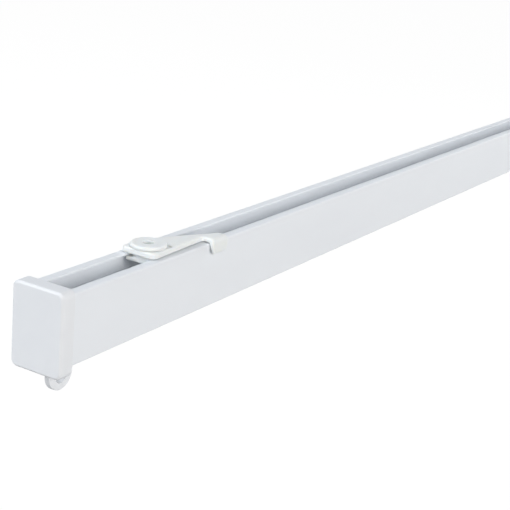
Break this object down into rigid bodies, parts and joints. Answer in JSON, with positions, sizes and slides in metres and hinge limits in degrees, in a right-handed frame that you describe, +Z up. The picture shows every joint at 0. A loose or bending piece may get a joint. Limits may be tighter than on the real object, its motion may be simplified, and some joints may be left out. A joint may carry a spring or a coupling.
{
  "type": "curtain track",
  "caption": "Ceiling-mounted white curtain track with end caps, swivel lock fittings and sliding gliders in the lower channel.",
  "frame": {"origin": "midway between the two ceiling screw holes, in the plane of the ceiling", "axes": "+X along the rail away from the pictured end, +Z up to the ceiling, -Y to the front wall that the hooks clip over"},
  "size_m": [1.4044, 0.0245, 0.0459],
  "materials": {
    "powder_coat": "smooth white powder coat",
    "cap_plastic": "satin moulded",
    "fitting_plastic": "satin moulded",
    "glider_plastic": "smooth moulded"
  },
  "bodies": {
    "root": {"rail": "powder_coat", "end_cap_near": "cap_plastic", "end_cap_far": "cap_plastic", "ceiling_hub_near": "fitting_plastic", "ceiling_hub_far": "fitting_plastic"},
    "lever_near": {"swivel_lever_near": "fitting_plastic"},
    "lever_far": {"swivel_lever_far": "fitting_plastic"},
    "glider_01_body": {"glider_01": "glider_plastic"},
    "glider_02_body": {"glider_02": "glider_plastic"},
    "glider_03_body": {"glider_03": "glider_plastic"},
    "glider_04_body": {"glider_04": "glider_plastic"},
    "glider_05_body": {"glider_05": "glider_plastic"},
    "glider_06_body": {"glider_06": "glider_plastic"},
    "glider_07_body": {"glider_07": "glider_plastic"},
    "glider_08_body": {"glider_08": "glider_plastic"},
    "glider_09_body": {"glider_09": "glider_plastic"},
    "glider_10_body": {"glider_10": "glider_plastic"},
    "glider_11_body": {"glider_11": "glider_plastic"},
    "glider_12_body": {"glider_12": "glider_plastic"}
  },
  "joints": [
    {"name": "lever_near_swing", "type": "hinge", "parent": "root", "child": "lever_near", "pos_m": [-0.6375, 0, -0.0045], "axis": [0, 0, -1], "range_deg": [0, 90]},
    {"name": "lever_far_swing", "type": "hinge", "parent": "root", "child": "lever_far", "pos_m": [0.6375, 0, -0.0045], "axis": [0, 0, -1], "range_deg": [0, 90]},
    {"name": "glider_01_slide", "type": "slide", "parent": "root", "child": "glider_01_body", "axis": [-1, 0, 0], "range_m": [0, 0.1]},
    {"name": "glider_02_slide", "type": "slide", "parent": "glider_01_body", "child": "glider_02_body", "axis": [-1, 0, 0], "range_m": [0, 0.1]},
    {"name": "glider_03_slide", "type": "slide", "parent": "glider_02_body", "child": "glider_03_body", "axis": [-1, 0, 0], "range_m": [0, 0.1]},
    {"name": "glider_04_slide", "type": "slide", "parent": "glider_03_body", "child": "glider_04_body", "axis": [-1, 0, 0], "range_m": [0, 0.1]},
    {"name": "glider_05_slide", "type": "slide", "parent": "glider_04_body", "child": "glider_05_body", "axis": [-1, 0, 0], "range_m": [0, 0.1]},
    {"name": "glider_06_slide", "type": "slide", "parent": "glider_05_body", "child": "glider_06_body", "axis": [-1, 0, 0], "range_m": [0, 0.1]},
    {"name": "glider_07_slide", "type": "slide", "parent": "glider_06_body", "child": "glider_07_body", "axis": [-1, 0, 0], "range_m": [0, 0.1]},
    {"name": "glider_08_slide", "type": "slide", "parent": "glider_07_body", "child": "glider_08_body", "axis": [-1, 0, 0], "range_m": [0, 0.1]},
    {"name": "glider_09_slide", "type": "slide", "parent": "glider_08_body", "child": "glider_09_body", "axis": [-1, 0, 0], "range_m": [0, 0.1]},
    {"name": "glider_10_slide", "type": "slide", "parent": "glider_09_body", "child": "glider_10_body", "axis": [-1, 0, 0], "range_m": [0, 0.1]},
    {"name": "glider_11_slide", "type": "slide", "parent": "glider_10_body", "child": "glider_11_body", "axis": [-1, 0, 0], "range_m": [0, 0.1]},
    {"name": "glider_12_slide", "type": "slide", "parent": "glider_11_body", "child": "glider_12_body", "axis": [-1, 0, 0], "range_m": [0, 0.1]}
  ]
}
